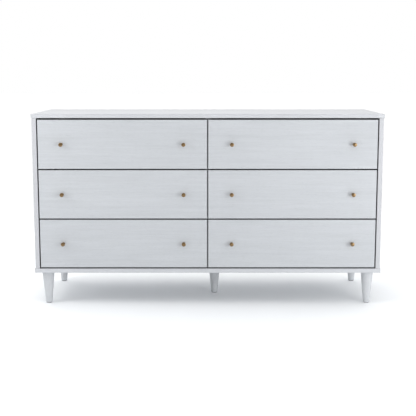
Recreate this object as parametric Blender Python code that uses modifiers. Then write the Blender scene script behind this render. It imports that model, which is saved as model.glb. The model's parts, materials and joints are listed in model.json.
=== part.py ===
"""Six-drawer dresser on tapered legs.

Standalone Blender 4.5 script, in metres, +Z up:

    blender --background --python part.py

The frame: X runs along the dresser's width and -Y is its front. The origin is on the floor, under the
centre of the whole object's box, knobs included.

A case of 18 mm boards under a 16 mm top stands on four corner legs and one support leg beside the centre
divider. Each drawer is a flush front, a folded one-piece wall (left, back and right sides), a bottom
board held in grooves, and two turned knobs whose screws pass through the front. The walls are grooved
outside, and they slide on runners fixed to the side panels and the divider.
"""

import math

import bmesh
import bpy
from mathutils import Vector

# ---------------------------------------------------------------- driving dimensions (metres)

CASE_WIDTH = 1.420  # top and bottom panels, end to end
CASE_DEPTH = 0.490  # front face to the rear edge of the top
TOTAL_HEIGHT = 0.784
LEG_HEIGHT = 0.1345
BOARD = 0.018  # case boards and drawer fronts
TOP_BOARD = 0.016
FIT = 0.0003  # left between two pieces that touch
EDGE = 0.0006  # eased edge of the boards

END_OVERHANG = 0.003  # top and bottom panels past the side panels
ROW_GAP = 0.005  # below each drawer front
TOP_GAP = 0.0065  # above the upper drawer fronts
COLUMN_GAP = 0.0046  # beside the drawer fronts and between the two columns
DIVIDER_SETBACK = 0.010  # divider's front edge behind the drawer fronts

BACK_RECESS = 0.009  # top's rear edge past the side panels' rear edges
SHEET = 0.003  # hardboard back sheets and the strip over their seam
SHEET_LAP = 0.003  # back sheets short of the side panels' outer faces
SEAM = 0.001  # between the two back sheets
SEAM_STRIP_WIDTH = 0.034

LEG_TOP_RADIUS = 0.0254
LEG_FOOT_RADIUS = 0.0132
LEG_END_INSET = 0.048  # leg axis to the case's end
LEG_FACE_INSET = 0.045  # leg axis to the case's front and rear
SUPPORT_LEG_X = 0.029  # beside the divider
SUPPORT_LEG_INSET = 0.220  # behind the front face

BOLT_RADIUS = 0.004
BOLT_HOLE_RADIUS = 0.0044
BOLT_IN_LEG = 0.040
WASHER_RADIUS = 0.011
WASHER = 0.0015
NUT_RADIUS = 0.007
NUT = 0.0065

WALL = 0.015  # drawer walls
WALL_HEIGHT = 0.150
WALL_LIFT = 0.016  # walls' lower edge above the front's lower edge
WALL_LENGTH = 0.440
SIDE_CLEARANCE = 0.005  # drawer wall to side panel or divider
BOTTOM_BOARD = 0.004
BOTTOM_LIFT = 0.010  # bottom board above the walls' lower edge
BOTTOM_GROOVE = 0.006  # depth of its groove in the walls and the front
BOTTOM_PLAY = 0.0005  # on every side of the bottom board in its groove

RUNNER_HEIGHT = 0.016
RUNNER_BITE = 0.007  # runner's reach into the wall's groove
RUNNER_LENGTH = 0.400
RUNNER_PLAY = 0.0005  # above and below the runner, and at the closed stop
GROOVE_DEPTH = 0.008
GROOVE_START = 0.030  # closed end of the groove behind the wall's front end

KNOB_LENGTH = 0.024
KNOB_FACE_RADIUS = 0.0082
KNOB_BASE_RADIUS = 0.0062
KNOB_EDGE = 0.0012
KNOB_INSET = 0.095  # knob's axis to the drawer front's end
SCREW_RADIUS = 0.002
SCREW_HOLE_RADIUS = 0.0026
SCREW_HEAD_RADIUS = 0.0042
SCREW_HEAD = 0.0026

LEG_STEPS = 40
KNOB_STEPS = 24
BOLT_STEPS = 16
CUTTER_OVERSHOOT = 0.010  # cutters run this far past the face they open

# ---------------------------------------------------------------- worked out from them

FRONT_Y = KNOB_LENGTH - (CASE_DEPTH + KNOB_LENGTH) / 2
REAR_Y = FRONT_Y + CASE_DEPTH
SIDE_REAR_Y = REAR_Y - BACK_RECESS
END_X = CASE_WIDTH / 2
SIDE_OUTER_X = END_X - END_OVERHANG
SIDE_INNER_X = SIDE_OUTER_X - BOARD
DIVIDER_X = BOARD / 2
FLOOR_OF_CASE = LEG_HEIGHT + BOARD
ROOF_OF_CASE = TOTAL_HEIGHT - TOP_BOARD
FRONT_HEIGHT = (ROOF_OF_CASE - FLOOR_OF_CASE - TOP_GAP - 3 * ROW_GAP) / 3
FRONT_INNER_X = COLUMN_GAP / 2
FRONT_OUTER_X = SIDE_INNER_X - COLUMN_GAP
FRONT_BACK_Y = FRONT_Y + BOARD
WALL_FRONT_Y = FRONT_BACK_Y + FIT
WALL_INNER_X = DIVIDER_X + SIDE_CLEARANCE
WALL_OUTER_X = SIDE_INNER_X - SIDE_CLEARANCE
RUNNER_LIFT = WALL_LIFT + WALL_HEIGHT / 2

ROWS = {"bottom": 0, "middle": 1, "top": 2}
COLUMNS = {"left": -1, "right": 1}

# ---------------------------------------------------------------- scene, collections, materials


def clear_scene():
    for thing in list(bpy.data.objects):
        bpy.data.objects.remove(thing, do_unlink=True)


def collection(name):
    made = bpy.data.collections.new(name)
    bpy.context.scene.collection.children.link(made)
    return made


def material(name, colour, roughness, metallic=0.0):
    made = bpy.data.materials.new(name)
    made.use_nodes = True
    shader = made.node_tree.nodes["Principled BSDF"]
    shader.inputs["Base Color"].default_value = (*colour, 1.0)
    shader.inputs["Roughness"].default_value = roughness
    shader.inputs["Metallic"].default_value = metallic
    return made


# ---------------------------------------------------------------- shapes


def add_object(name, mesh, finish, origin, parent=None):
    made = bpy.data.objects.new(name, mesh)
    PARTS.objects.link(made)
    mesh.materials.append(finish)
    made.location = origin - parent.location if parent else origin
    made.parent = parent
    return made


def box_mesh(name, size):
    mesh = bpy.data.meshes.new(name)
    shape = bmesh.new()
    bmesh.ops.create_cube(shape, size=1.0)
    bmesh.ops.scale(shape, vec=size, verts=shape.verts)
    shape.to_mesh(mesh)
    shape.free()
    return mesh


def board(name, low, high, finish, parent=None, eased=EDGE):
    """A flat board from its lowest to its highest corner, with eased edges."""
    low, high = Vector(low), Vector(high)
    made = add_object(name, box_mesh(name, high - low), finish, (low + high) / 2, parent)
    if eased:
        bevel = made.modifiers.new("eased_edges", "BEVEL")
        bevel.width = eased
        bevel.segments = 1
        bevel.limit_method = "ANGLE"
    return made


def turned(name, profile, steps, finish, origin, parent=None, lying=False):
    """A turned piece from (radius, height) points that run down its outer side; lying turns +Z to -Y."""
    mesh = bpy.data.meshes.new(name)
    points = [(radius, 0.0, height) for radius, height in profile]
    mesh.from_pydata(points, [(i, i + 1) for i in range(len(points) - 1)], [])
    made = add_object(name, mesh, finish, origin, parent)
    if lying:
        made.rotation_euler = (math.radians(90), 0, 0)
    screw = made.modifiers.new("turned", "SCREW")
    screw.axis = "Z"
    screw.steps = steps
    screw.render_steps = steps
    screw.use_merge_vertices = True
    screw.merge_threshold = 0.00001
    return made


def as_cutter(made):
    PARTS.objects.unlink(made)
    CUTTERS.objects.link(made)
    made.hide_render = True
    made.display_type = "WIRE"
    return made


def box_cutter(name, low, high, parent=None):
    return as_cutter(board(name, low, high, CUTTER_FINISH, parent, eased=0))


def round_cutter(name, centre, radius, length, parent=None, lying=False):
    """A cylinder centred on a point, upright or lying along Y."""
    mesh = bpy.data.meshes.new(name)
    shape = bmesh.new()
    bmesh.ops.create_cone(
        shape, cap_ends=True, segments=BOLT_STEPS, radius1=radius, radius2=radius, depth=length
    )
    shape.to_mesh(mesh)
    shape.free()
    made = add_object(name, mesh, CUTTER_FINISH, Vector(centre), parent)
    if lying:
        made.rotation_euler = (math.radians(90), 0, 0)
    return as_cutter(made)


def cut(target, *cutters):
    for cutter in cutters:
        boolean = target.modifiers.new(cutter.name, "BOOLEAN")
        boolean.operation = "DIFFERENCE"
        boolean.solver = "EXACT"
        boolean.object = cutter


# ---------------------------------------------------------------- case


def leg_places():
    """Name and axis of each leg, in plan."""
    corner_x = END_X - LEG_END_INSET
    front, rear = FRONT_Y + LEG_FACE_INSET, REAR_Y - LEG_FACE_INSET
    return {
        "front_left_leg": (-corner_x, front),
        "front_right_leg": (corner_x, front),
        "rear_left_leg": (-corner_x, rear),
        "rear_right_leg": (corner_x, rear),
        "centre_support_leg": (SUPPORT_LEG_X, FRONT_Y + SUPPORT_LEG_INSET),
    }


def case_boards():
    board("top_panel", (-END_X, FRONT_Y, ROOF_OF_CASE), (END_X, REAR_Y, TOTAL_HEIGHT), WHITE)
    base = board("bottom_panel", (-END_X, FRONT_Y, LEG_HEIGHT), (END_X, REAR_Y, FLOOR_OF_CASE), WHITE)
    for name, (x, y) in leg_places().items():
        centre = (x, y, LEG_HEIGHT + BOARD / 2)
        cut(base, round_cutter(name + "_hole", centre, BOLT_HOLE_RADIUS, BOARD + CUTTER_OVERSHOOT))
    low, high = FLOOR_OF_CASE + FIT, ROOF_OF_CASE - FIT
    for side, sign in COLUMNS.items():
        inner, outer = sorted((sign * SIDE_INNER_X, sign * SIDE_OUTER_X))
        board(side + "_side_panel", (inner, FRONT_Y, low), (outer, SIDE_REAR_Y, high), WHITE)
    divider_front = FRONT_BACK_Y + DIVIDER_SETBACK
    board("centre_divider", (-DIVIDER_X, divider_front, low), (DIVIDER_X, SIDE_REAR_Y, high), WHITE)


def back_sheets():
    """Two hardboard sheets on the rear edges of the sides and the divider, and a strip over their seam."""
    low, high = FLOOR_OF_CASE + FIT, ROOF_OF_CASE - FIT
    front = SIDE_REAR_Y + FIT
    for side, sign in COLUMNS.items():
        near, far = sorted((sign * SEAM / 2, sign * (SIDE_OUTER_X - SHEET_LAP)))
        sheet_name = side + "_back_panel"
        board(sheet_name, (near, front, low), (far, front + SHEET, high), HARDBOARD, eased=0)
    strip_front = front + SHEET + FIT
    board(
        "back_seam_strip",
        (-SEAM_STRIP_WIDTH / 2, strip_front, low),
        (SEAM_STRIP_WIDTH / 2, strip_front + SHEET, high),
        WHITE,
    )


def legs():
    """Turned legs with a blind hole on top, and the bolt, nut and washer that join each to the case."""
    top, hole_floor = LEG_HEIGHT - FIT, LEG_HEIGHT - BOLT_IN_LEG - FIT
    leg_profile = [
        (0, hole_floor - FIT),
        (BOLT_HOLE_RADIUS, hole_floor - FIT),
        (BOLT_HOLE_RADIUS, top),
        (LEG_TOP_RADIUS - EDGE, top),
        (LEG_TOP_RADIUS, top - EDGE),
        (LEG_FOOT_RADIUS, 2 * EDGE),
        (LEG_FOOT_RADIUS - EDGE, 0),
        (0, 0),
    ]
    washer_low = FLOOR_OF_CASE + FIT
    bolt_profile = [
        (0, washer_low + WASHER + NUT),
        (NUT_RADIUS, washer_low + WASHER + NUT),
        (NUT_RADIUS, washer_low + WASHER),
        (WASHER_RADIUS, washer_low + WASHER),
        (WASHER_RADIUS, washer_low),
        (BOLT_RADIUS, washer_low),
        (BOLT_RADIUS, LEG_HEIGHT - BOLT_IN_LEG),
        (0, LEG_HEIGHT - BOLT_IN_LEG),
    ]
    for name, (x, y) in leg_places().items():
        turned(name, leg_profile, LEG_STEPS, WHITE, Vector((x, y, 0)))
        turned(name + "_bolt", bolt_profile, BOLT_STEPS, ZINC, Vector((x, y, 0)))


# ---------------------------------------------------------------- drawers


def spread(sign, near, far):
    """Lowest and highest X of something that lies from near to far on one side of the divider."""
    return sorted((sign * near, sign * far))


def drawer_front(name, sign, low_z, carrier):
    """The flush front, with its two screw holes and the groove that holds the bottom board."""
    x0, x1 = spread(sign, FRONT_INNER_X, FRONT_OUTER_X)
    made = board(
        name + "_front", (x0, FRONT_Y, low_z), (x1, FRONT_BACK_Y, low_z + FRONT_HEIGHT), WHITE, carrier
    )
    groove_x = spread(sign, WALL_INNER_X + WALL, WALL_OUTER_X - WALL)
    groove_z = low_z + WALL_LIFT + BOTTOM_LIFT
    groove = box_cutter(
        name + "_front_groove",
        (groove_x[0] - BOTTOM_GROOVE, FRONT_BACK_Y - BOTTOM_GROOVE, groove_z - BOTTOM_PLAY),
        (groove_x[1] + BOTTOM_GROOVE, FRONT_BACK_Y + CUTTER_OVERSHOOT, groove_z + BOTTOM_BOARD + BOTTOM_PLAY),
        carrier,
    )
    cut(made, groove)
    middle_z = low_z + FRONT_HEIGHT / 2
    for side, x in (("left", x0 + KNOB_INSET), ("right", x1 - KNOB_INSET)):
        centre = (x, FRONT_Y + BOARD / 2, middle_z)
        hole_name = f"{name}_{side}_knob_hole"
        length = BOARD + CUTTER_OVERSHOOT
        cut(made, round_cutter(hole_name, centre, SCREW_HOLE_RADIUS, length, carrier, lying=True))
        knob(f"{name}_{side}_knob", Vector((x, FRONT_Y, middle_z)), carrier)


def knob(name, origin, carrier):
    """A flared knob with its screw: the head bears on the back of the drawer front."""
    head_front = -BOARD - FIT
    profile = [
        (0, KNOB_LENGTH),
        (KNOB_FACE_RADIUS - KNOB_EDGE, KNOB_LENGTH),
        (KNOB_FACE_RADIUS, KNOB_LENGTH - KNOB_EDGE),
        (KNOB_FACE_RADIUS, KNOB_LENGTH - 3 * KNOB_EDGE),
        (KNOB_BASE_RADIUS, 2 * KNOB_EDGE),
        (KNOB_BASE_RADIUS, FIT),
        (SCREW_RADIUS, FIT),
        (SCREW_RADIUS, head_front),
        (SCREW_HEAD_RADIUS, head_front),
        (SCREW_HEAD_RADIUS, head_front - SCREW_HEAD),
        (0, head_front - SCREW_HEAD),
    ]
    turned(name, profile, KNOB_STEPS, BRASS, origin, carrier, lying=True)


def drawer_walls(name, sign, low_z, carrier):
    """Left, back and right walls in one board: a groove inside for the bottom, two outside for runners."""
    x0, x1 = spread(sign, WALL_INNER_X, WALL_OUTER_X)
    z0 = low_z + WALL_LIFT
    z1 = z0 + WALL_HEIGHT
    rear = WALL_FRONT_Y + WALL_LENGTH
    made = board(name + "_walls", (x0, WALL_FRONT_Y, z0), (x1, rear, z1), BOX_BOARD, carrier)
    inside = box_cutter(
        name + "_inside",
        (x0 + WALL, WALL_FRONT_Y - CUTTER_OVERSHOOT, z0 - CUTTER_OVERSHOOT),
        (x1 - WALL, rear - WALL, z1 + CUTTER_OVERSHOOT),
        carrier,
    )
    groove_z = z0 + BOTTOM_LIFT
    bottom_groove = box_cutter(
        name + "_bottom_groove",
        (x0 + WALL - BOTTOM_GROOVE, WALL_FRONT_Y - CUTTER_OVERSHOOT, groove_z - BOTTOM_PLAY),
        (x1 - WALL + BOTTOM_GROOVE, rear - WALL + BOTTOM_GROOVE, groove_z + BOTTOM_BOARD + BOTTOM_PLAY),
        carrier,
    )
    cut(made, inside, bottom_groove)
    middle_z = low_z + RUNNER_LIFT
    half = RUNNER_HEIGHT / 2 + RUNNER_PLAY
    grooves = (
        ("left", x0 - CUTTER_OVERSHOOT, x0 + GROOVE_DEPTH),
        ("right", x1 - GROOVE_DEPTH, x1 + CUTTER_OVERSHOOT),
    )
    for side, near, far in grooves:
        groove = box_cutter(
            f"{name}_{side}_runner_groove",
            (near, WALL_FRONT_Y + GROOVE_START, middle_z - half),
            (far, rear + CUTTER_OVERSHOOT, middle_z + half),
            carrier,
        )
        cut(made, groove)
    board(
        name + "_bottom",
        (
            x0 + WALL - BOTTOM_GROOVE + BOTTOM_PLAY,
            FRONT_BACK_Y - BOTTOM_GROOVE + BOTTOM_PLAY,
            groove_z,
        ),
        (
            x1 - WALL + BOTTOM_GROOVE - BOTTOM_PLAY,
            rear - WALL + BOTTOM_GROOVE - BOTTOM_PLAY,
            groove_z + BOTTOM_BOARD,
        ),
        HARDBOARD,
        carrier,
        eased=0,
    )


def runners(name, sign, low_z):
    """The two fixed runners of one drawer, on the side panel and on the divider."""
    front = WALL_FRONT_Y + GROOVE_START + RUNNER_PLAY
    middle_z = low_z + RUNNER_LIFT
    reach = SIDE_CLEARANCE + RUNNER_BITE
    places = {
        "outer_runner": spread(sign, SIDE_INNER_X - reach, SIDE_INNER_X - FIT),
        "inner_runner": spread(sign, DIVIDER_X + FIT, DIVIDER_X + reach),
    }
    for piece, (x0, x1) in places.items():
        low = (x0, front, middle_z - RUNNER_HEIGHT / 2)
        high = (x1, front + RUNNER_LENGTH, middle_z + RUNNER_HEIGHT / 2)
        board(f"{name}_{piece}", low, high, RUNNER)


def drawer(row, column):
    name = f"{row}_{column}_drawer"
    sign = COLUMNS[column]
    low_z = FLOOR_OF_CASE + ROW_GAP + ROWS[row] * (FRONT_HEIGHT + ROW_GAP)
    carrier = bpy.data.objects.new(name, None)
    PARTS.objects.link(carrier)
    carrier.location = (sign * (FRONT_INNER_X + FRONT_OUTER_X) / 2, FRONT_Y, low_z + FRONT_HEIGHT / 2)
    drawer_front(name, sign, low_z, carrier)
    drawer_walls(name, sign, low_z, carrier)
    runners(name, sign, low_z)


clear_scene()
PARTS = collection("six_drawer_dresser")
CUTTERS = collection("cutters")
WHITE = material("white_laminate", (0.78, 0.80, 0.82), 0.45)
BOX_BOARD = material("drawer_box_board", (0.80, 0.78, 0.74), 0.55)
HARDBOARD = material("white_hardboard", (0.76, 0.75, 0.72), 0.6)
RUNNER = material("beech_runner", (0.62, 0.46, 0.30), 0.5)
BRASS = material("brass", (0.62, 0.43, 0.20), 0.3, 1.0)
ZINC = material("zinc_plated_steel", (0.62, 0.63, 0.65), 0.35, 1.0)
CUTTER_FINISH = material("cutter", (0.8, 0.2, 0.2), 0.5)

case_boards()
back_sheets()
legs()
for row_name in ROWS:
    for column_name in COLUMNS:
        drawer(row_name, column_name)
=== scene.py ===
"""Looks of the six-drawer dresser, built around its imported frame. Metres; -Y is the dresser's front."""

import json
import math

import bmesh
import bpy
from mathutils import Euler, Matrix, Vector

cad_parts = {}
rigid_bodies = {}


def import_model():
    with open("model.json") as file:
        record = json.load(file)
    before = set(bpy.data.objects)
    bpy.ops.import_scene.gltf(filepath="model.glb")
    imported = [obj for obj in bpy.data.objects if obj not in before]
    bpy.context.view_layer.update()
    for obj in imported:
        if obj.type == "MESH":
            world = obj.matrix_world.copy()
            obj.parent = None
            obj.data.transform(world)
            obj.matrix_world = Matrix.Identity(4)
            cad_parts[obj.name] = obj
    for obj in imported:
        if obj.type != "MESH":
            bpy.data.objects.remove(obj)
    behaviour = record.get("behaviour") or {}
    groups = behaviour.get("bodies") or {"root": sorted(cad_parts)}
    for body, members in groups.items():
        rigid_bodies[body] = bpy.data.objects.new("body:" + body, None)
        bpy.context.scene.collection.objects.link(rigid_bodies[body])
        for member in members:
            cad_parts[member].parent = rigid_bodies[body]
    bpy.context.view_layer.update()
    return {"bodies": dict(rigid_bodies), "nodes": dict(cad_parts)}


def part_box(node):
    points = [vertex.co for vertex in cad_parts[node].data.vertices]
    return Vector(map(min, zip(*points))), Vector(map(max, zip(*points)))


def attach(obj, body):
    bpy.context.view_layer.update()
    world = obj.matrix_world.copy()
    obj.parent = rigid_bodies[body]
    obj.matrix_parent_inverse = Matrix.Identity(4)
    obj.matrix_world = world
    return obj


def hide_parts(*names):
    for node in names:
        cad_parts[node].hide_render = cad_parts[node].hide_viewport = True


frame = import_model()
NODES = frame["nodes"]
DRAWERS = [body for body in frame["bodies"] if body != "case"]
X, Y, Z = 0, 1, 2  # axes, by their places in a vector
LEGS = ["front_left_leg", "front_right_leg", "rear_left_leg", "rear_right_leg", "centre_support_leg"]

# ---------------------------------------------------------------- sizes (metres)

# camera: its distance from the top's front edge, its height, and how it looks
CAMERA_DISTANCE = 3.6216
CAMERA_HEIGHT = 0.9448
CAMERA_PITCH = 8.494  # degrees below level
CAMERA_LENS = 77.93  # millimetres
CAMERA_SENSOR = 36.0  # millimetres
CAMERA_SHIFT = 0.0008

SMOOTH_ANGLE = 32.0  # degrees; sharper edges stay crisp
SQUARE_ENOUGH = 0.9  # least share of a normal along an axis for its face to count as square to it
HAIR = 0.0001  # left between pieces that touch

GLIDE_HEIGHT = 0.0018
GLIDE_RADIUS = 0.0118
GLIDE_ROUNDING = 0.0004
LEG_FOOT_RADIUS = 0.0132
LEG_ROUNDING = 0.0008
LEG_HOLE_ROOM = 0.0006  # beside the bolt
LEG_HOLE_END = 0.0003  # below the bolt

KNOB_BASE_RADIUS = 0.0064
KNOB_LIFT = 0.0003  # off the drawer front
KNOB_ROUNDING = 0.0006
KNOB_FOOT = 0.0014
KNOB_STEP = 0.0004
KNOB_RIM = 0.0016
KNOB_DOME = 0.0010
WAIST_CURVE = 1.6  # power of the waist's flare
WAIST_STEPS = 8
DOME_STEPS = 6

BOLT_RADIUS = 0.0038
THREAD_PITCH = 0.00125
THREAD_DEPTH = 0.0005
NUT_ACROSS_CORNERS = 0.0140
NUT_CHAMFER = 0.0006
ROD_PAST_NUT = 0.0015
WASHER_RADIUS = 0.0108
WASHER = 0.0006
WASHER_CHAMFER = 0.0001

# recessed heads: radius and height, then the cross recess's half length, width and depth
KNOB_SCREW = (0.0042, 0.0026, 0.0024, 0.0009, 0.0014)
RUNNER_SCREW = (0.0032, 0.0005, 0.0019, 0.0007, 0.0004)
CASE_SCREW = (0.0050, 0.0005, 0.0022, 0.0011, 0.0004)
CAM = (0.0075, 0.0006, 0.0034, 0.0012, 0.0005)
HEAD_CHAMFER = 0.0004

# places along a piece, as shares of its length or height
RUNNER_SCREW_PLACES = (0.08, 0.5, 0.92)
CASE_SCREW_PLACES = (0.22, 0.5, 0.78)
CAM_PLACES = (0.36, 0.80)
CAM_FROM_FRONT = 0.032  # from the front end of the drawer's walls
BOTTOM_IN_GROOVE = 0.0055  # how far the drawer's bottom reaches into a wall

NAIL_RADIUS = 0.0026
NAIL_RIM = 0.0003
NAIL_DOME = 0.0005
NAIL_SPACING = 0.090
NAIL_MARGIN = 0.018

# ---------------------------------------------------------------- colours and light

# whitened laminate: the lightest and darkest of its grain, and how much its pores show
WHITE_LIGHT, WHITE_DARK = (0.533, 0.552, 0.577), (0.462, 0.480, 0.502)
PORE_SHADE, PORE_SHARE = 0.72, 0.35
GRAIN_RELIEF = 0.00012
# faces between these planes look into the case and carry painted shade: a darker tone standing for the shade
# inside it
INSIDE_X, INSIDE_Z = 0.698, (0.1435, 0.776)
INSIDE_PAINTED_SHADE = 0.62

# soft light of the room towards an axis: axis, sharpness, strength
ROOM_LIGHT = [("Z", 1.0, 0.73), ("X", 2.0, 0.45), ("Y", 2.0, 1.65)]
EVEN_LIGHT = 0.28
# name, place, the point that it faces, width and height, watts
SOFTBOXES = [
    ("right_softbox", (1.9, -2.2, 0.6), (0.5, -0.2, 0.45), (1.2, 1.4), 29.5),
    ("left_softbox", (-2.2, -1.0, 0.6), (-0.5, -0.2, 0.45), (1.0, 1.4), 6.0),
    ("upper_left_softbox", (-1.35, -0.75, 1.15), (-0.65, -0.2, 0.65), (0.5, 0.5), 4.2),
    ("overhead_softbox", (0.0, -0.3, 2.8), (0.0, 0.0, 0.7), (2.0, 2.0), 9.6),
    ("low_rear_softbox", (-1.65, 1.0, 0.35), (-0.35, -0.05, 0.0), (0.8, 0.5), 4.5),
]
FLOOR_HALF_WIDTH = 40.0
FLOOR_DROP = 0.0003  # keeps the floor clear of the glides' undersides
# painted shade: the floor's faintly darker, cool tone near the dresser, the colour of the shade there
FLOOR_NEAR_PAINTED_SHADE = (0.940, 0.957, 0.972, 1.0)
# painted light: between these distances the floor turns pure white
FLOOR_TURNS_WHITE = (1.2, 2.6)  # metres from the dresser's middle
PURE_WHITE = (1.0, 1.0, 1.0, 1.0)

# ---------------------------------------------------------------- shader graphs


class Graph:
    """A material's node tree, with short ways to add a node and read its inputs from other nodes."""

    def __init__(self, name):
        self.material = bpy.data.materials.new(name)
        self.material.use_nodes = True
        self.tree = self.material.node_tree
        self.shader = self.tree.nodes["Principled BSDF"]
        self.coordinates = self.add("ShaderNodeTexCoord").outputs["Object"]

    def add(self, kind, settings=None, **inputs):
        node = self.tree.nodes.new(kind)
        for name, value in (settings or {}).items():
            setattr(node, name, value)
        for name, value in inputs.items():
            self.feed(node.inputs[name.replace("_", " ")], value)
        return node

    def feed(self, socket, value):
        if isinstance(value, bpy.types.NodeSocket):
            self.tree.links.new(value, socket)
        else:
            socket.default_value = value

    def math(self, operation, first, second=0.0):
        node = self.add("ShaderNodeMath", {"operation": operation})
        self.feed(node.inputs[0], first)
        self.feed(node.inputs[1], second)
        return node.outputs[0]

    def noise(self, scales, detail=2.0, roughness=0.5, vector=None, offset=(0.0, 0.0, 0.0)):
        """Noise whose frequency along each axis is given in cycles per metre; 0 to 1, middle 0.5."""
        mapping = self.add("ShaderNodeMapping", Vector=vector or self.coordinates)
        mapping.inputs["Scale"].default_value = scales
        mapping.inputs["Location"].default_value = offset
        noise = self.add("ShaderNodeTexNoise", Vector=mapping.outputs[0], Scale=1.0, Detail=detail)
        noise.inputs["Roughness"].default_value = roughness
        return noise.outputs["Fac"]

    def ramp(self, factor, stops):
        """Colours at places from 0 to 1."""
        ramp = self.add("ShaderNodeValToRGB", Fac=factor)
        elements = ramp.color_ramp.elements
        while len(elements) < len(stops):
            elements.new(1.0)
        for element, (place, colour) in zip(elements, stops):
            element.position = place
            element.color = (*colour, 1.0)
        return ramp.outputs["Color"]

    def spread(self, factor, low, high):
        """A 0 to 1 value spread between two others."""
        node = self.add("ShaderNodeMapRange", Value=factor)
        node.inputs["To Min"].default_value = low
        node.inputs["To Max"].default_value = high
        return node.outputs["Result"]

    def step(self, factor, low, high):
        """0 below low, 1 above high, smooth between."""
        node = self.add("ShaderNodeMapRange", {"interpolation_type": "SMOOTHSTEP"}, Value=factor)
        node.inputs["From Min"].default_value = low
        node.inputs["From Max"].default_value = high
        return node.outputs["Result"]

    def within(self, value, low, high):
        """1 where a value lies between two others."""
        above, below = self.math("GREATER_THAN", value, low), self.math("LESS_THAN", value, high)
        return self.math("MULTIPLY", above, below)

    def mix(self, factor, first, second):
        """Mixes two values."""
        node = self.add("ShaderNodeMix", {"data_type": "FLOAT"})
        self.feed(node.inputs["Factor"], factor)
        self.feed(node.inputs[2], first)
        self.feed(node.inputs[3], second)
        return node.outputs[0]

    def mix_colour(self, factor, first, second, blend="MIX"):
        node = self.add("ShaderNodeMix", {"data_type": "RGBA", "blend_type": blend})
        self.feed(node.inputs["Factor"], factor)
        self.feed(node.inputs[6], first)
        self.feed(node.inputs[7], second)
        return node.outputs[2]

    def facing(self, axis):
        """1 on faces square to an axis, 0 on the others."""
        normal = self.add("ShaderNodeNewGeometry").outputs["True Normal"]
        parts = self.add("ShaderNodeSeparateXYZ", Vector=normal)
        return self.math("GREATER_THAN", self.math("ABSOLUTE", parts.outputs[axis]), SQUARE_ENOUGH)

    def eased_edge(self):
        """1 on the slanted faces of eased edges, 0 on the faces square to an axis."""
        flat = self.math("MAXIMUM", self.facing(X), self.math("MAXIMUM", self.facing(Y), self.facing(Z)))
        return self.math("SUBTRACT", 1.0, flat)

    def bump(self, height, distance, strength):
        bump = self.add("ShaderNodeBump", Height=height, Distance=distance, Strength=strength)
        self.tree.links.new(bump.outputs[0], self.shader.inputs["Normal"])

    def surface(self, colour, roughness):
        self.feed(self.shader.inputs["Base Color"], colour)
        self.feed(self.shader.inputs["Roughness"], roughness)


def grey(level):
    return (level, level, level, 1.0)


def along(axis, lengthways, across):
    """Noise frequencies for a grain that runs along one axis."""
    scales = [across, across, across]
    scales[axis] = lengthways
    return scales


def grain(graph, axis):
    """Straight fine grain along an axis: (tone, pores), each from 0 to 1."""
    drift = graph.noise(along(axis, 1.1, 5.0), detail=1.0)
    shifted = graph.add("ShaderNodeVectorMath", {"operation": "ADD"})
    graph.feed(shifted.inputs[0], graph.coordinates)
    graph.feed(shifted.inputs[1], graph.spread(drift, -0.010, 0.010))
    wavy = shifted.outputs[0]
    fibres = graph.noise(along(axis, 14.0, 330.0), detail=3.0, roughness=0.62, vector=wavy)
    streaks = graph.noise(along(axis, 4.5, 105.0), roughness=0.55, vector=wavy, offset=(3.1, 1.7, 5.3))
    bands = graph.noise(along(axis, 1.4, 34.0), detail=1.0, vector=wavy, offset=(6.2, 4.4, 2.5))
    wide = graph.math("ADD", graph.math("MULTIPLY", streaks, 0.45), graph.math("MULTIPLY", bands, 0.20))
    tone = graph.math("ADD", graph.math("MULTIPLY", fibres, 0.35), wide)
    pore_field = graph.noise(along(axis, 55.0, 1500.0), detail=1.0, vector=wavy, offset=(0.4, 2.2, 0.9))
    return tone, graph.step(pore_field, 0.60, 0.70)


def inside_case(graph):
    """1 on the faces that look into the case, 0 on its outside and its front edges: where the painted shade
    inside the case goes.
    """
    x, _, z = graph.add("ShaderNodeSeparateXYZ", Vector=graph.coordinates).outputs
    in_box = graph.math("MULTIPLY", graph.within(x, -INSIDE_X, INSIDE_X), graph.within(z, *INSIDE_Z))
    return graph.math("MULTIPLY", in_box, graph.math("SUBTRACT", 1.0, graph.facing(Y)))


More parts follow.
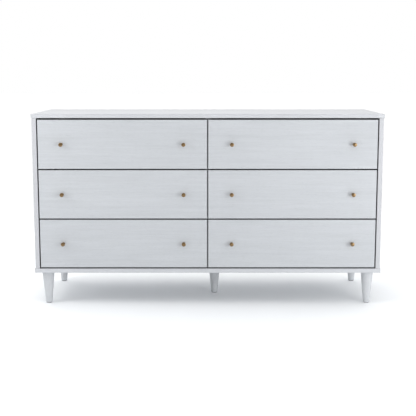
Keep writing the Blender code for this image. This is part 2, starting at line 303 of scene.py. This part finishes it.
def laminate(name, face_grain, end_grain, painted_light_tint, band_axes=(), band=1.0, chamfer_shade=1.0, backed=False):
    """Whitened wood laminate: fine grain along one axis, and along another on faces square to the first.

    Faces square to the given axes carry edge banding whose tone is painted light and shade: darker, as
    painted shade in the gaps between fronts, and lighter, as a painted highlight on the case boards' edges.
    Eased edges can carry a mottled painted shade that darkens those gaps further.
    Boards marked for it carry painted shade on the faces that look into the case: a darker tone standing for
    the shade inside it.
    """
    graph = Graph(name)
    tone, pores = grain(graph, face_grain)
    end_tone, end_pores = grain(graph, end_grain)
    is_end = graph.facing(face_grain)
    tone = graph.mix(is_end, tone, end_tone)
    pores = graph.mix(is_end, pores, end_pores)
    middle = [(a + b) / 2 for a, b in zip(WHITE_LIGHT, WHITE_DARK)]
    colour = graph.ramp(tone, [(0.30, WHITE_DARK), (0.50, middle), (0.70, WHITE_LIGHT)])
    pore_colour = (*[c * PORE_SHADE for c in WHITE_DARK], 1.0)
    colour = graph.mix_colour(graph.math("MULTIPLY", pores, PORE_SHARE), colour, pore_colour)
    clouds = graph.noise((2.3, 2.3, 2.3), offset=(7.0, 3.0, 1.0))
    shade = graph.ramp(clouds, [(0.25, (0.985, 0.985, 0.988)), (0.75, (1.0, 1.0, 1.0))])
    colour = graph.mix_colour(1.0, colour, shade, "MULTIPLY")
    # painted light and shade: each board's copy of the laminate is made lighter or darker to suit the light
    # it gets
    colour = graph.mix_colour(1.0, colour, (*painted_light_tint, 1.0), "MULTIPLY")
    # painted light and shade: faces square to these axes made darker (painted shade in the fronts' gaps) or
    # lighter (painted highlight on the case boards' edges)
    for axis in band_axes:
        colour = graph.mix_colour(graph.facing(axis), colour, grey(band), "MULTIPLY")
    # painted shade on the eased edges, mottled by noise, so the gaps between fronts read dark; 1.0 leaves
    # them unshaded
    chamfer_shade_mottle = graph.step(graph.noise((60.0, 60.0, 60.0), detail=3.0, roughness=0.7), 0.40, 0.62)
    chamfer_shade_tone = graph.mix_colour(chamfer_shade_mottle, grey(chamfer_shade), grey((1.0 + 2.0 * chamfer_shade) / 3.0))
    colour = graph.mix_colour(graph.eased_edge(), colour, chamfer_shade_tone, "MULTIPLY")
    # painted shade on the faces that look into the case
    if backed:
        colour = graph.mix_colour(inside_case(graph), colour, grey(INSIDE_PAINTED_SHADE), "MULTIPLY")
    graph.surface(colour, graph.spread(tone, 0.60, 0.48))
    graph.shader.inputs["Specular IOR Level"].default_value = 0.35
    height = graph.math("SUBTRACT", tone, graph.math("MULTIPLY", pores, 0.5))
    graph.bump(height, GRAIN_RELIEF, 0.55)
    return graph.material


def foil_board():
    """Plain off-white foil of the drawer boxes, with a faint leathery emboss and a painted highlight on its
    eased edges.
    """
    graph = Graph("drawer_box_foil")
    emboss = graph.noise((900.0, 900.0, 900.0))
    cloud = graph.noise((6.0, 6.0, 6.0))
    colour = graph.ramp(cloud, [(0.3, (0.70, 0.695, 0.675)), (0.7, (0.735, 0.73, 0.712))])
    # painted highlight: the foil's eased edges made lighter
    edge = graph.math("MULTIPLY", graph.eased_edge(), 0.5)
    colour = graph.mix_colour(edge, colour, (0.80, 0.79, 0.77, 1.0))
    graph.surface(colour, graph.spread(emboss, 0.58, 0.46))
    graph.bump(emboss, 0.00006, 0.5)
    return graph.material


def hardboard():
    """Smooth painted hardboard: fine pressed fibres, slightly uneven paint."""
    graph = Graph("painted_hardboard")
    fibres = graph.noise((260.0, 700.0, 260.0), detail=4.0, roughness=0.7)
    cloud = graph.noise((5.0, 5.0, 5.0), detail=3.0)
    blend = graph.math("ADD", graph.math("MULTIPLY", fibres, 0.7), graph.math("MULTIPLY", cloud, 0.3))
    colour = graph.ramp(blend, [(0.32, (0.525, 0.520, 0.503)), (0.68, (0.580, 0.575, 0.558))])
    graph.surface(colour, graph.spread(fibres, 0.72, 0.55))
    graph.bump(fibres, 0.00010, 0.5)
    return graph.material


def beech():
    """Bare planed beech, with its short darker flecks."""
    graph = Graph("planed_beech")
    rings = graph.noise(along(Y, 1.5, 90.0), detail=3.0, roughness=0.6)
    flecks = graph.step(graph.noise(along(Y, 160.0, 1100.0), detail=1.0), 0.60, 0.68)
    colour = graph.ramp(rings, [(0.3, (0.50, 0.33, 0.19)), (0.7, (0.64, 0.46, 0.29))])
    colour = graph.mix_colour(graph.math("MULTIPLY", flecks, 0.5), colour, (0.36, 0.21, 0.11, 1.0))
    graph.surface(colour, graph.spread(rings, 0.60, 0.48))
    graph.bump(rings, 0.00010, 0.5)
    return graph.material


def brass():
    """Satin brass with the fine rings that a lathe leaves round the knob's own axis, its local Z."""
    graph = Graph("turned_brass")
    x, y, z = graph.add("ShaderNodeSeparateXYZ", Vector=graph.coordinates).outputs
    squares = graph.math("ADD", graph.math("MULTIPLY", x, x), graph.math("MULTIPLY", y, y))
    profile = graph.math("SUBTRACT", graph.math("SQRT", squares), z)
    rings = graph.add("ShaderNodeTexNoise", {"noise_dimensions": "1D"}, W=profile, Scale=4200.0, Detail=2.0)
    rings = rings.outputs["Fac"]
    patina = graph.noise((380.0, 380.0, 380.0), detail=3.0)
    colour = graph.ramp(patina, [(0.30, (0.20, 0.132, 0.066)), (0.70, (0.27, 0.182, 0.096))])
    graph.surface(colour, graph.spread(rings, 0.24, 0.38))
    graph.shader.inputs["Metallic"].default_value = 1.0
    graph.bump(rings, 0.00002, 0.4)
    return graph.material


def zinc():
    """Zinc-plated steel, with the plating's faint cloudiness."""
    graph = Graph("zinc_plating")
    cloud = graph.noise((300.0, 300.0, 300.0), detail=3.0)
    colour = graph.ramp(cloud, [(0.3, (0.52, 0.53, 0.55)), (0.7, (0.66, 0.67, 0.68))])
    graph.surface(colour, graph.spread(cloud, 0.28, 0.42))
    graph.shader.inputs["Metallic"].default_value = 1.0
    graph.bump(graph.noise((2500.0, 2500.0, 2500.0), detail=1.0), 0.00002, 0.3)
    return graph.material


def glide_plastic():
    """Moulded plastic, finely pitted: real glides, made near-black as painted shade for the contact shadow
    under each foot.
    """
    graph = Graph("dark_glide_plastic")
    pits = graph.noise((1400.0, 1400.0, 1400.0))
    cloud = graph.noise((260.0, 260.0, 260.0))
    # partly painted shade: near-black so the glides stand for the contact shadow under the feet
    colour = graph.ramp(cloud, [(0.3, (0.030, 0.030, 0.032)), (0.7, (0.050, 0.050, 0.053))])
    graph.surface(colour, graph.spread(pits, 0.62, 0.45))
    graph.bump(pits, 0.00004, 0.5)
    return graph.material


# fronts: the darker edge faces and the mottled shade on their eased edges are painted shade for the gaps
# between them
FRONT_GRAIN = laminate(
    "whitened_grain_fronts", X, Z, (1.0, 1.0, 1.0), band_axes=(X, Z), band=0.56, chamfer_shade=0.40
)
# case boards: the lighter edge faces are a painted highlight, and the faces inside the case carry painted
# shade
CASE_GRAIN = laminate(
    # a darker copy of the laminate: painted shade set for the well-lit top
    "whitened_grain_case", X, Y, (0.93, 0.92, 0.92), band_axes=(X, Y), band=1.15, backed=True
)
# uprights: a slightly lighter copy of the laminate, painted light, with painted shade inside the case
UPRIGHT_GRAIN = laminate("whitened_grain_uprights", Z, Y, (1.03, 1.01, 1.01), backed=True)
# legs: a lighter copy of the laminate, painted light for the shade they stand in under the case
LEG_GRAIN = laminate("whitened_grain_legs", Z, Y, (1.11, 1.10, 1.09))
FOIL = foil_board()
HARDBOARD = hardboard()
BEECH = beech()
BRASS = brass()
ZINC = zinc()
GLIDE_PLASTIC = glide_plastic()

# ---------------------------------------------------------------- finishes of the CAD nodes


def finish_for(node):
    if node in ("top_panel", "bottom_panel"):
        return CASE_GRAIN
    if node.endswith("_walls"):
        return FOIL
    if node.endswith("_back_panel") or node.endswith("_drawer_bottom"):
        return HARDBOARD
    if node.endswith("_runner"):
        return BEECH
    if node.endswith("_front"):
        return FRONT_GRAIN
    return UPRIGHT_GRAIN


for node_name, cad_node in NODES.items():
    cad_node.data.materials.clear()
    cad_node.data.materials.append(finish_for(node_name))

# ---------------------------------------------------------------- shapes


def new_object(name, shape, material):
    mesh = bpy.data.meshes.new(name)
    bmesh.ops.recalc_face_normals(shape, faces=shape.faces)
    shape.to_mesh(mesh)
    shape.free()
    mesh.shade_smooth()
    mesh.set_sharp_from_angle(angle=math.radians(SMOOTH_ANGLE))
    mesh.materials.append(material)
    made = bpy.data.objects.new(name, mesh)
    bpy.context.scene.collection.objects.link(made)
    return made


def arc(centre, radius, start, end, steps):
    """Points of an arc in (radius, height), with its angles in degrees from the radius axis."""
    angles = [math.radians(start + (end - start) * i / steps) for i in range(steps + 1)]
    return [(centre[0] + radius * math.cos(a), centre[1] + radius * math.sin(a)) for a in angles]


def turned_shape(profile, steps):
    """A solid turned about Z from (radius, height) points."""
    shape = bmesh.new()
    points = [shape.verts.new((radius, 0.0, height)) for radius, height in profile]
    lines = [shape.edges.new(pair) for pair in zip(points, points[1:])]
    origin, upward = (0, 0, 0), (0, 0, 1)
    bmesh.ops.spin(
        shape, geom=points + lines, cent=origin, axis=upward, angle=math.tau, steps=steps, use_merge=True
    )
    bmesh.ops.remove_doubles(shape, verts=shape.verts, dist=0.000001)
    return shape


def turned(name, profile, material, steps):
    return new_object(name, turned_shape(profile, steps), material)


def ring_points(radius, steps):
    angles = [math.tau * i / steps for i in range(steps)]
    return [(radius * math.cos(a), radius * math.sin(a)) for a in angles]


def loop(shape, outline, height):
    points = [shape.verts.new((x, y, height)) for x, y in outline]
    return [shape.edges.new((points[i], points[(i + 1) % len(points)])) for i in range(len(points))]


def raise_walls(shape, edges, step):
    """Extrudes a closed run of edges up or down and returns its new end."""
    made = bmesh.ops.extrude_edge_only(shape, edges=edges)["geom"]
    bmesh.ops.translate(shape, vec=(0, 0, step), verts=[g for g in made if isinstance(g, bmesh.types.BMVert)])
    new_edges = [g for g in made if isinstance(g, bmesh.types.BMEdge)]
    return [e for e in new_edges if all(v in made for v in e.verts) and e.is_boundary]


def scale_loop(edges, factor):
    for vert in {v for e in edges for v in e.verts}:
        vert.co.xy *= factor


def pierced_plate(outer, inner, height, chamfer):
    """A plate with a hole right through it and chamfered outer edges, from z = 0 up to its height."""
    shape = bmesh.new()
    narrow = 1.0 - chamfer / Vector(outer[0]).length
    low_outer, low_inner = loop(shape, outer, 0.0), loop(shape, inner, 0.0)
    scale_loop(low_outer, narrow)
    bmesh.ops.triangle_fill(shape, use_beauty=True, edges=low_outer + low_inner)
    wall = raise_walls(shape, low_outer, chamfer)
    scale_loop(wall, 1.0 / narrow)
    wall = raise_walls(shape, wall, height - 2 * chamfer)
    wall = raise_walls(shape, wall, chamfer)
    scale_loop(wall, narrow)
    bmesh.ops.triangle_fill(shape, use_beauty=True, edges=wall + raise_walls(shape, low_inner, height))
    return shape


def recessed_head(radius, height, arm, width, depth, steps=32):
    """A low round head with a chamfered rim and a cross recess in its top; it stands on z = 0."""
    shape = bmesh.new()
    rim = min(HEAD_CHAMFER, height / 3)
    half = width / 2
    cross = [
        (arm, -half), (arm, half), (half, half), (half, arm), (-half, arm), (-half, half),
        (-arm, half), (-arm, -half), (-half, -half), (-half, -arm), (half, -arm), (half, -half),
    ]
    top_edges = loop(shape, ring_points(radius - rim, steps), height)
    cross_edges = loop(shape, cross, height)
    bmesh.ops.triangle_fill(shape, use_beauty=True, edges=top_edges + cross_edges)
    bmesh.ops.edgeloop_fill(shape, edges=raise_walls(shape, cross_edges, -depth))
    side_edges = raise_walls(shape, top_edges, -rim)
    scale_loop(side_edges, radius / (radius - rim))
    bmesh.ops.edgeloop_fill(shape, edges=raise_walls(shape, side_edges, -(height - rim)))
    return shape


def scattered(name, shape, places, turn, material):
    """Copies of one shape at several places, joined as one object; turn is the rotation of each."""
    template = bpy.data.meshes.new(name + "_template")
    shape.to_mesh(template)
    shape.free()
    joined = bmesh.new()
    for place in places:
        before = len(joined.verts)
        joined.from_mesh(template)
        joined.verts.ensure_lookup_table()
        fresh = joined.verts[before:]
        bmesh.ops.transform(joined, matrix=Matrix.Translation(place) @ turn.to_matrix().to_4x4(), verts=fresh)
    bpy.data.meshes.remove(template)
    return new_object(name, joined, material)


FACING = {
    "-y": Euler((math.radians(90), 0, 0)),
    "+y": Euler((math.radians(-90), 0, 0)),
    "-x": Euler((0, math.radians(-90), 0)),
    "+x": Euler((0, math.radians(90), 0)),
    "-z": Euler((math.radians(180), 0, 0)),
}


def add_piece(piece, body, replaced=None):
    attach(piece, body)
    if replaced:
        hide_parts(replaced)


# ---------------------------------------------------------------- legs, glides, bolts


def leg_profile(top, top_radius, hole_floor):
    """From the middle of the foot, up the tapered side and down into the bolt's blind hole."""
    foot, foot_radius, soft = GLIDE_HEIGHT, LEG_FOOT_RADIUS, LEG_ROUNDING
    hole_radius = BOLT_RADIUS + LEG_HOLE_ROOM
    slope = math.degrees(math.atan2(top - foot, top_radius - foot_radius))
    return [
        (0.0, foot),
        *arc((foot_radius - soft, foot + soft), soft, -90, slope - 90, 6),
        *arc((top_radius - soft, top - soft), soft, slope - 90, 90, 8),
        (hole_radius, top),
        (hole_radius, hole_floor),
        (0.0, hole_floor),
    ]


def glide_profile():
    soft, top = GLIDE_ROUNDING, GLIDE_HEIGHT - HAIR
    return [(0.0, 0.0), *arc((GLIDE_RADIUS - soft, soft), soft, -90, 0, 5), (GLIDE_RADIUS, top), (0.0, top)]


def legs():
    for name in LEGS:
        low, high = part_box(name)
        bolt_low, bolt_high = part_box(name + "_bolt")
        axis = Vector(((low.x + high.x) / 2, (low.y + high.y) / 2, 0.0))
        profile = leg_profile(high.z, (high.x - low.x) / 2, bolt_low.z - LEG_HOLE_END)
        leg = turned("turned_" + name, profile, LEG_GRAIN, steps=72)
        leg.location = axis
        add_piece(leg, "case", name)
        glide = turned(name.replace("_leg", "_glide"), glide_profile(), GLIDE_PLASTIC, steps=48)
        glide.location = axis
        add_piece(glide, "case")
        hanger_bolt(name, axis, bolt_low.z, bolt_high.z)


def thread(low, high):
    """Profile of a threaded rod from its lower end to its upper end."""
    core = BOLT_RADIUS - THREAD_DEPTH
    points = [(0.0, low), (core, low)]
    turns = int((high - low) / THREAD_PITCH) - 1
    for i in range(turns):
        crest = low + THREAD_PITCH * (i + 0.75)
        points += [(BOLT_RADIUS, crest), (core, crest + THREAD_PITCH / 2)]
    return points + [(core, high), (0.0, high)]


def hanger_bolt(name, axis, low, high):
    """A threaded rod up through the bottom panel, with a washer and a hexagon nut on top of it."""
    floor_of_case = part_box("bottom_panel")[1].z
    rod = turned(name + "_rod", thread(low, high), ZINC, steps=24)
    rod.location = axis
    add_piece(rod, "case", name + "_bolt")
    hole = ring_points(BOLT_RADIUS + HAIR, 32)
    ring = pierced_plate(ring_points(WASHER_RADIUS, 32), hole, WASHER, WASHER_CHAMFER)
    washer = new_object(name + "_washer", ring, ZINC)
    washer.location = axis + Vector((0, 0, floor_of_case + HAIR))
    add_piece(washer, "case")
    nut_height = high - ROD_PAST_NUT - floor_of_case - WASHER
    hexagon = pierced_plate(ring_points(NUT_ACROSS_CORNERS / 2, 6), hole, nut_height, NUT_CHAMFER)
    nut = new_object(name + "_nut", hexagon, ZINC)
    nut.location = axis + Vector((0, 0, floor_of_case + WASHER + 2 * HAIR))
    add_piece(nut, "case")


# ---------------------------------------------------------------- knobs and their screws


def knob_profile(length, face_radius):
    """From the middle of the foot, out along the waist and over the slightly domed face."""
    neck_radius, neck = KNOB_BASE_RADIUS - KNOB_STEP, KNOB_FOOT + KNOB_STEP
    shoulder = length - KNOB_DOME - 2 * KNOB_RIM
    corner = (KNOB_BASE_RADIUS - KNOB_ROUNDING, KNOB_LIFT + KNOB_ROUNDING)
    points = [(0.0, KNOB_LIFT), (corner[0], KNOB_LIFT)]
    points += arc(corner, KNOB_ROUNDING, -90, 0, 4)
    points += [(KNOB_BASE_RADIUS, KNOB_FOOT), (neck_radius, neck)]
    for i in range(1, WAIST_STEPS + 1):
        t = i / WAIST_STEPS
        flare = (face_radius - neck_radius) * t**WAIST_CURVE
        points.append((neck_radius + flare, neck + (shoulder - neck) * t))
    points += arc((face_radius - KNOB_RIM, length - KNOB_DOME - KNOB_RIM), KNOB_RIM, 0, 80, 8)
    edge_radius, edge_height = points[-1]
    for i in range(1, DOME_STEPS + 1):
        t = i / DOME_STEPS
        points.append((edge_radius * (1 - t), edge_height + (length - edge_height) * (1 - (1 - t) ** 2)))
    return points


def knobs(drawer):
    front_low, front_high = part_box(drawer + "_front")
    for side in ("left", "right"):
        node = f"{drawer}_{side}_knob"
        low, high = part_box(node)
        base = Vector(((low.x + high.x) / 2, front_low.y, (low.z + high.z) / 2))
        profile = knob_profile(front_low.y - low.y, (high.x - low.x) / 2)
        knob = turned(f"turned_{node}", profile, BRASS, steps=64)
        knob.location = base
        knob.rotation_euler = FACING["-y"]
        add_piece(knob, drawer, node)
        behind = Vector((base.x, front_high.y + HAIR, base.z))
        head = scattered(node + "_screw", recessed_head(*KNOB_SCREW), [behind], FACING["+y"], ZINC)
        add_piece(head, drawer)


# ---------------------------------------------------------------- fittings


def runner_screws(node):
    """The screws that hold a runner, on its side that faces the drawer."""
    low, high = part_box(node)
    drawer = node.replace("_outer_runner", "").replace("_inner_runner", "")
    drawer_low, drawer_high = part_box(drawer + "_walls")
    to_right = (drawer_low.x + drawer_high.x) > (low.x + high.x)
    face = high.x if to_right else low.x
    middle = (low.z + high.z) / 2
    places = [Vector((face, low.y + (high.y - low.y) * t, middle)) for t in RUNNER_SCREW_PLACES]
    head = recessed_head(*RUNNER_SCREW, steps=24)
    screws = scattered(node + "_screws", head, places, FACING["+x" if to_right else "-x"], ZINC)
    add_piece(screws, "case")


def cam_locks(drawer):
    """The four cams that pull the drawer front onto the ends of the side walls."""
    low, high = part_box(drawer + "_walls")
    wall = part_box(drawer + "_bottom")[0].x - low.x + BOTTOM_IN_GROOVE
    for side, way, x in (("left", "+x", low.x + wall), ("right", "-x", high.x - wall)):
        spots = [Vector((x, low.y + CAM_FROM_FRONT, low.z + (high.z - low.z) * t)) for t in CAM_PLACES]
        cams = scattered(f"{drawer}_{side}_cams", recessed_head(*CAM), spots, FACING[way], ZINC)
        add_piece(cams, drawer)


def case_screws():
    """Screws up through the bottom panel into the side panels and the divider."""
    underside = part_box("bottom_panel")[0].z
    for node in ("left_side_panel", "right_side_panel", "centre_divider"):
        low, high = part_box(node)
        x = (low.x + high.x) / 2
        places = [Vector((x, low.y + (high.y - low.y) * t, underside)) for t in CASE_SCREW_PLACES]
        screws = scattered(node + "_screws", recessed_head(*CASE_SCREW), places, FACING["-z"], ZINC)
        add_piece(screws, "case")


def nail_shape():
    profile = [(0.0, 0.0), (NAIL_RADIUS, 0.0), (NAIL_RADIUS, NAIL_RIM)]
    for angle in (math.radians(25), math.radians(50), math.radians(75)):
        profile.append((NAIL_RADIUS * math.cos(angle), NAIL_RIM + NAIL_DOME * math.sin(angle)))
    return turned_shape(profile + [(0.0, NAIL_RIM + NAIL_DOME)], 16)


def back_nails():
    """Nails through the back sheets and the seam strip."""
    columns = {"back_seam_strip": 0.0}
    for side in ("left", "right"):
        low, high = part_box(side + "_side_panel")
        columns[side + "_back_panel"] = (low.x + high.x) / 2
    for node, x in columns.items():
        low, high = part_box(node)
        gaps = int((high.z - low.z) / NAIL_SPACING)
        pitch = (high.z - low.z - 2 * NAIL_MARGIN) / gaps
        places = [Vector((x, high.y, low.z + NAIL_MARGIN + pitch * i)) for i in range(gaps + 1)]
        nails = scattered(node + "_nails", nail_shape(), places, FACING["+y"], ZINC)
        add_piece(nails, "case")


legs()
for drawer_name in DRAWERS:
    knobs(drawer_name)
    cam_locks(drawer_name)
for node_name in NODES:
    if node_name.endswith("_runner"):
        runner_screws(node_name)
case_screws()
back_nails()

# ---------------------------------------------------------------- floor, light, camera


def studio_floor():
    """A plain matt floor with painted shade near the dresser, faintly darker and cool there, and painted
    light further off, where it turns pure white.
    """
    shape = bmesh.new()
    bmesh.ops.create_grid(shape, x_segments=1, y_segments=1, size=FLOOR_HALF_WIDTH)
    paint = Graph("studio_floor")
    away = paint.add("ShaderNodeVectorMath", {"operation": "LENGTH"}, Vector=paint.coordinates)
    # painted light: the floor's share of pure white grows away from the dresser
    painted_light_share = paint.step(away.outputs["Value"], *FLOOR_TURNS_WHITE)
    paint.surface(paint.mix_colour(painted_light_share, FLOOR_NEAR_PAINTED_SHADE, PURE_WHITE), roughness=0.9)
    paint.shader.inputs["Specular IOR Level"].default_value = 0.0
    floor = new_object("studio_floor", shape, paint.material)
    floor.location.z = -FLOOR_DROP


def room():
    """Soft light from all round, stronger towards some axes, with a plain white backdrop behind it."""
    world = bpy.data.worlds.new("studio_light")
    bpy.context.scene.world = world
    world.use_nodes = True
    tree = world.node_tree
    tree.nodes.clear()
    direction = tree.nodes.new("ShaderNodeTexCoord")
    parts = tree.nodes.new("ShaderNodeSeparateXYZ")
    tree.links.new(direction.outputs["Generated"], parts.inputs[0])

    def calculate(operation, first, second):
        node = tree.nodes.new("ShaderNodeMath")
        node.operation = operation
        for socket, value in zip(node.inputs, (first, second)):
            if isinstance(value, float):
                socket.default_value = value
            else:
                tree.links.new(value, socket)
        return node.outputs[0]

    total = EVEN_LIGHT
    for axis, power, strength in ROOM_LIGHT:
        toward = calculate("MAXIMUM", parts.outputs[axis], 0.0)
        total = calculate("ADD", calculate("MULTIPLY", calculate("POWER", toward, power), strength), total)
    lighting = tree.nodes.new("ShaderNodeBackground")
    backdrop = tree.nodes.new("ShaderNodeBackground")
    for background in (lighting, backdrop):
        background.inputs["Color"].default_value = PURE_WHITE
    tree.links.new(total, lighting.inputs["Strength"])
    path = tree.nodes.new("ShaderNodeLightPath")
    choose = tree.nodes.new("ShaderNodeMixShader")
    tree.links.new(path.outputs["Is Camera Ray"], choose.inputs[0])
    tree.links.new(lighting.outputs[0], choose.inputs[1])
    tree.links.new(backdrop.outputs[0], choose.inputs[2])
    output = tree.nodes.new("ShaderNodeOutputWorld")
    tree.links.new(choose.outputs[0], output.inputs["Surface"])


def softbox(name, place, target, size, power):
    light = bpy.data.lights.new(name, "AREA")
    light.shape = "RECTANGLE"
    light.size, light.size_y = size
    light.energy = power
    lamp = bpy.data.objects.new(name, light)
    lamp.location = place
    lamp.rotation_euler = (Vector(target) - Vector(place)).to_track_quat("-Z", "Y").to_euler()
    bpy.context.scene.collection.objects.link(lamp)


def camera():
    lens = bpy.data.cameras.new("camera")
    lens.sensor_width = CAMERA_SENSOR
    lens.lens = CAMERA_LENS
    lens.shift_x = CAMERA_SHIFT
    view = bpy.data.objects.new("camera", lens)
    view.location = (0.0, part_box("top_panel")[0].y - CAMERA_DISTANCE, CAMERA_HEIGHT)
    view.rotation_euler = (math.radians(90.0 - CAMERA_PITCH), 0.0, 0.0)
    bpy.context.scene.collection.objects.link(view)
    bpy.context.scene.camera = view


studio_floor()
room()
for box in SOFTBOXES:
    softbox(*box)
camera()
bpy.context.scene.view_settings.view_transform = "Standard"
